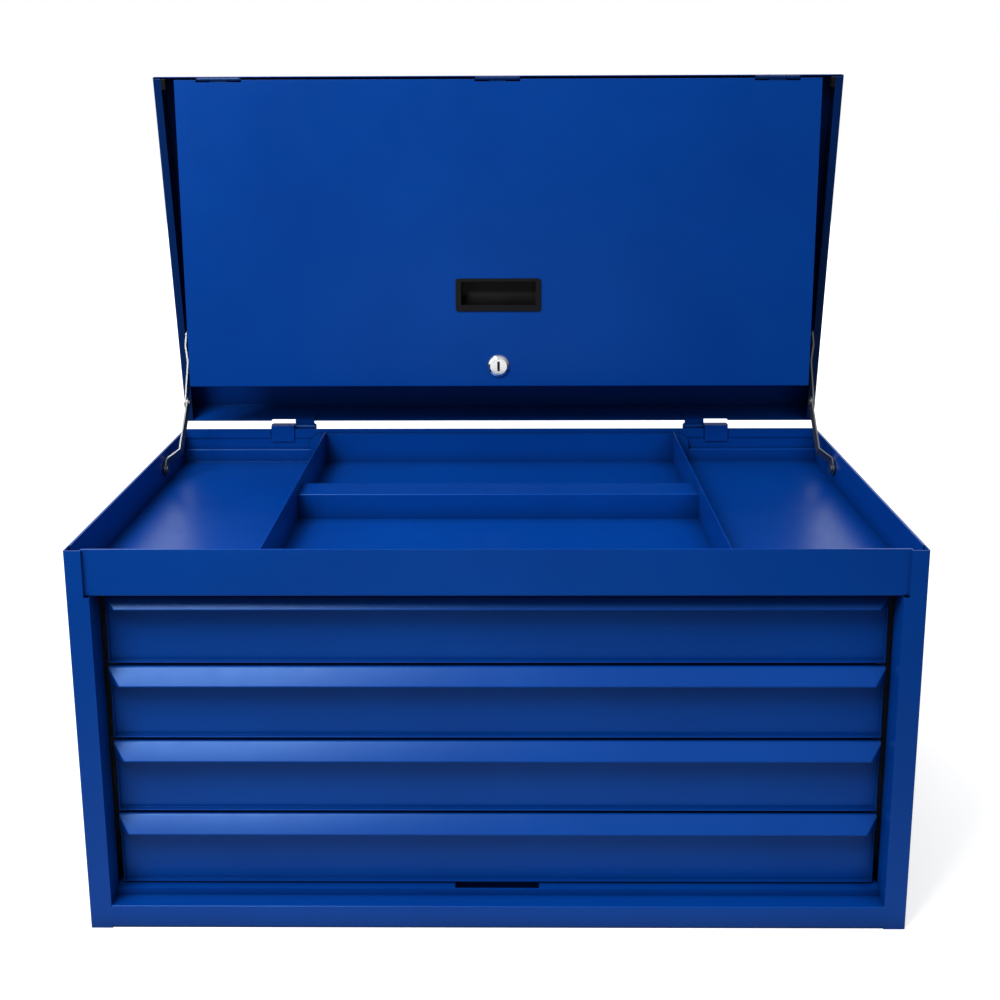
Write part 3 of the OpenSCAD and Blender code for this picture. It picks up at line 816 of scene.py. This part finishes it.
class TOOLBOX_OT_till(bpy.types.Operator):
    """Till floor, partitions and cross divider."""

    bl_idname = "toolbox.till"
    bl_label = "Till"

    def execute(self, context):
        dress(["till_floor", "till_rear_plate", "till_partition_left",
               "till_partition_right", "till_cross_divider"], powder_coat())
        return {"FINISHED"}


class TOOLBOX_OT_drawers(bpy.types.Operator):
    """Drawer fronts and trays."""

    bl_idname = "toolbox.drawers"
    bl_label = "Drawers"

    def execute(self, context):
        dress([f"drawer_{i}_{part}" for i in DRAWERS for part in ("front", "tray")],
              powder_coat())
        return {"FINISHED"}


class TOOLBOX_OT_lid(bpy.types.Operator):
    """Lid shell, its buffers and the stops for the cover."""

    bl_idname = "toolbox.lid"
    bl_label = "Lid"

    def execute(self, context):
        lid = dress(["lid_shell"], powder_coat())[0]
        # The lid's inner walls and return edges get a darker colour, painted shade.
        paint_lid_wall_shade(lid.data)
        for name in ("lid_buffers", "cover_stops"):
            finish_node(name, moulded_plastic())
        return {"FINISHED"}


class TOOLBOX_OT_cover(bpy.types.Operator):
    """Front cover with its handle and lock."""

    bl_idname = "toolbox.cover"
    bl_label = "Front cover"

    def execute(self, context):
        dress(["cover_panel"], powder_coat())
        finish_node("cover_handle", moulded_plastic())
        for name in ("lock_housing", "lock_nut", "lock_plug"):
            finish_node(name, polished_chrome())
        finish_node("lock_cam", zinc_plate())
        # A black block in the key slot paints its shade.
        key_slot_shutter()
        return {"FINISHED"}


class TOOLBOX_OT_hardware(bpy.types.Operator):
    """Hinges, stays, slides and carry handles."""

    bl_idname = "toolbox.hardware"
    bl_label = "Hinges, stays, slides, handles"

    def execute(self, context):
        for name in NODES:
            if record_slot(name) == "zinc_steel":
                finish_node(name, zinc_plate())
            elif name.startswith("bail"):
                finish_node(name, moulded_plastic())
            elif name.startswith("cover_leaves") or name == "cover_pins":
                finish_node(name, powder_coat(*THIN_COAT))
            elif "hinge" in name:
                finish_node(name, powder_coat())
        return {"FINISHED"}


class TOOLBOX_OT_heads(bpy.types.Operator):
    """Rivet heads and spot weld marks."""

    bl_idname = "toolbox.heads"
    bl_label = "Rivets and welds"

    def execute(self, context):
        folds = context.scene.toolbox_folds
        case = body_of("side_left")
        rivet = (folds.rivet, folds.rivet_rise)
        heads("rivets_brackets", bracket_spots(), case, "zinc_steel", zinc_plate(), *rivet)
        heads("rivets_hinges_case", case_hinge_spots(), case, "blue_paint", powder_coat(),
              *rivet)
        heads("rivets_hinges_lid", lid_hinge_spots(), body_of("lid_shell"), "blue_paint",
              powder_coat(), *rivet)
        heads("welds_till", weld_spots(), case, "blue_paint", powder_coat(),
              folds.weld, folds.weld_rise)
        for i in DRAWERS:
            heads(f"rivets_drawer_{i}", drawer_spots(i), body_of(f"drawer_{i}_tray"),
                  "zinc_steel", zinc_plate(), *rivet)
        return {"FINISHED"}


class TOOLBOX_OT_stage(bpy.types.Operator):
    """Floor, white surroundings, lamps and camera."""

    bl_idname = "toolbox.stage"
    bl_label = "Stage"

    def execute(self, context):
        settings = context.scene.toolbox_stage
        pale_floor()
        white_studio(settings.sky, settings.front, settings.back)
        context.scene.view_settings.view_transform = "Standard"
        for name, (place, aim, size) in LAMPS.items():
            lamp(name, place, aim, size, getattr(settings, name))
        camera(settings.lens)
        return {"FINISHED"}


OPERATORS = (TOOLBOX_OT_case, TOOLBOX_OT_till, TOOLBOX_OT_drawers, TOOLBOX_OT_lid,
             TOOLBOX_OT_cover, TOOLBOX_OT_hardware, TOOLBOX_OT_heads, TOOLBOX_OT_stage)


class TOOLBOX_PT_panel(bpy.types.Panel):
    """Lists the tool box operators."""

    bl_label = "Tool box"
    bl_idname = "TOOLBOX_PT_panel"
    bl_space_type = "VIEW_3D"
    bl_region_type = "UI"
    bl_category = "Tool box"

    def draw(self, context):
        for group in ("toolbox_paint", "toolbox_folds", "toolbox_stage"):
            box = self.layout.box()
            data = getattr(context.scene, group)
            for key in data.bl_rna.properties.keys():
                if key not in ("rna_type", "name"):
                    box.prop(data, key)
        for op in OPERATORS:
            self.layout.operator(op.bl_idname)


CLASSES = (ToolBoxPaint, ToolBoxFolds, ToolBoxStage, *OPERATORS, TOOLBOX_PT_panel)


def register():
    for c in CLASSES:
        bpy.utils.register_class(c)
    bpy.types.Scene.toolbox_paint = bpy.props.PointerProperty(type=ToolBoxPaint)
    bpy.types.Scene.toolbox_folds = bpy.props.PointerProperty(type=ToolBoxFolds)
    bpy.types.Scene.toolbox_stage = bpy.props.PointerProperty(type=ToolBoxStage)


def unregister():
    del bpy.types.Scene.toolbox_paint
    del bpy.types.Scene.toolbox_folds
    del bpy.types.Scene.toolbox_stage
    for c in reversed(CLASSES):
        bpy.utils.unregister_class(c)


def main():
    register()
    bpy.ops.toolbox.case()
    bpy.ops.toolbox.till()
    bpy.ops.toolbox.drawers()
    bpy.ops.toolbox.lid()
    bpy.ops.toolbox.cover()
    bpy.ops.toolbox.hardware()
    bpy.ops.toolbox.heads()
    bpy.ops.toolbox.stage()
    bpy.context.view_layer.update()


if __name__ == "__main__":
    main()
